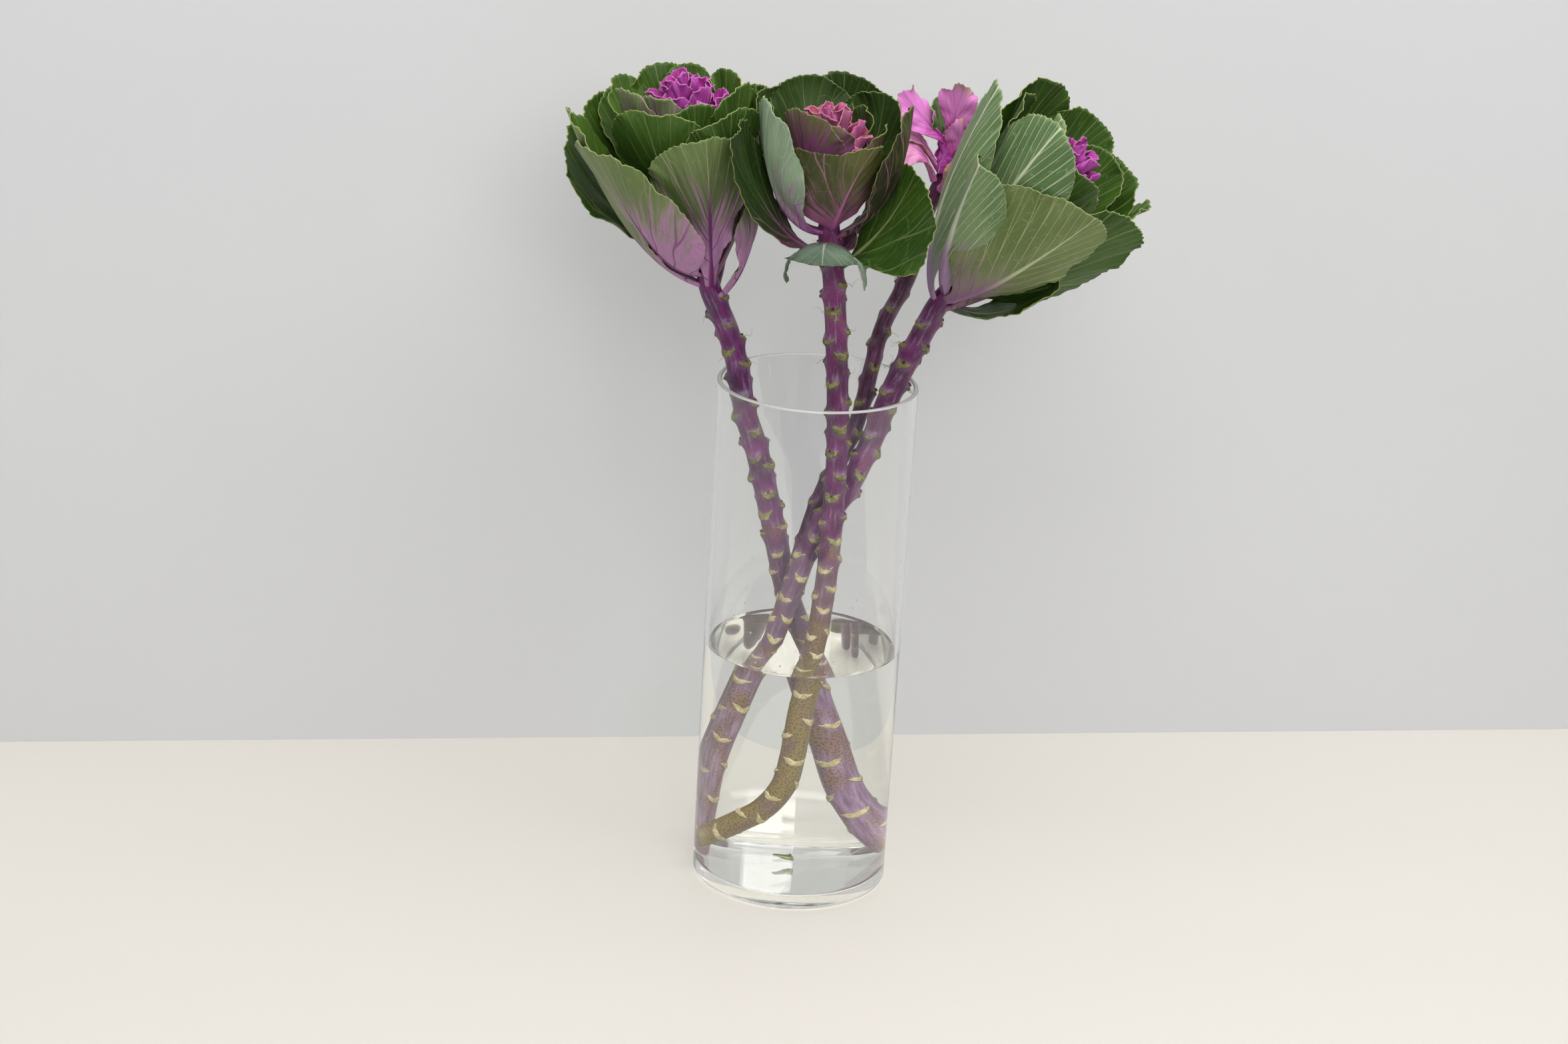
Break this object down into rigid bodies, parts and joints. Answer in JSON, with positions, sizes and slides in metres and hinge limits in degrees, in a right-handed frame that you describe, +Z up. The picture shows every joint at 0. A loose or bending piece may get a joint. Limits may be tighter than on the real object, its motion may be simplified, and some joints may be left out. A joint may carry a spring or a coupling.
{
  "type": "cut ornamental kale stems in a glass cylinder vase of water",
  "caption": "Cut ornamental kale stems with ruffled leaf heads, standing in a tall clear glass cylinder vase half full of water.",
  "frame": {"origin": "centre of the vase's flat underside", "axes": "+Z up along the vase's axis, -Y towards the side that is seen, +X to the right"},
  "size_m": [0.4318, 0.1794, 0.6425],
  "materials": {
    "glass": "clear, polished",
    "water": "clear water, slightly cloudy",
    "stem": "purple skin with a whitish bloom, leaf scars and fine fibres",
    "leaf": "waxy green blade with pale veins, purple towards the stalk",
    "pink_leaf": "soft pink and lilac blade with a frilled edge",
    "heart": "magenta frilled leaflets with pale edges"
  },
  "bodies": {
    "root": {"vase": "glass", "stem_left": "stem", "stem_middle": "stem", "stem_back": "stem", "stem_right": "stem", "water": "water", "heart_left": "heart", "heart_middle": "heart", "heart_back": "heart", "heart_right": "heart", "leaf_left_01": "leaf", "leaf_left_02": "leaf", "leaf_left_03": "leaf", "leaf_left_04": "leaf", "leaf_left_05": "leaf", "leaf_left_06": "leaf", "leaf_left_07": "leaf", "leaf_left_08": "leaf", "leaf_left_09": "leaf", "leaf_left_10": "leaf", "leaf_left_11": "leaf", "leaf_left_12": "leaf", "leaf_left_13": "leaf", "leaf_left_14": "leaf", "leaf_middle_01": "leaf", "leaf_middle_02": "leaf", "leaf_middle_03": "leaf", "leaf_middle_04": "leaf", "leaf_middle_05": "leaf", "leaf_middle_06": "leaf", "leaf_middle_07": "leaf", "leaf_middle_08": "leaf", "leaf_middle_09": "leaf", "leaf_middle_10": "leaf", "leaf_middle_11": "leaf", "leaf_middle_12": "leaf", "leaf_middle_13": "leaf", "leaf_back_01": "pink_leaf", "leaf_back_02": "pink_leaf", "leaf_back_03": "pink_leaf", "leaf_back_04": "pink_leaf", "leaf_back_05": "pink_leaf", "leaf_back_06": "pink_leaf", "leaf_back_07": "pink_leaf", "leaf_back_08": "pink_leaf", "leaf_back_09": "pink_leaf", "leaf_right_01": "leaf", "leaf_right_02": "leaf", "leaf_right_03": "leaf", "leaf_right_04": "leaf", "leaf_right_05": "leaf", "leaf_right_06": "leaf", "leaf_right_07": "leaf", "leaf_right_08": "leaf", "leaf_right_09": "leaf", "leaf_right_10": "leaf", "leaf_right_11": "leaf", "leaf_right_12": "leaf", "leaf_right_13": "leaf"}
  },
  "joints": []
}
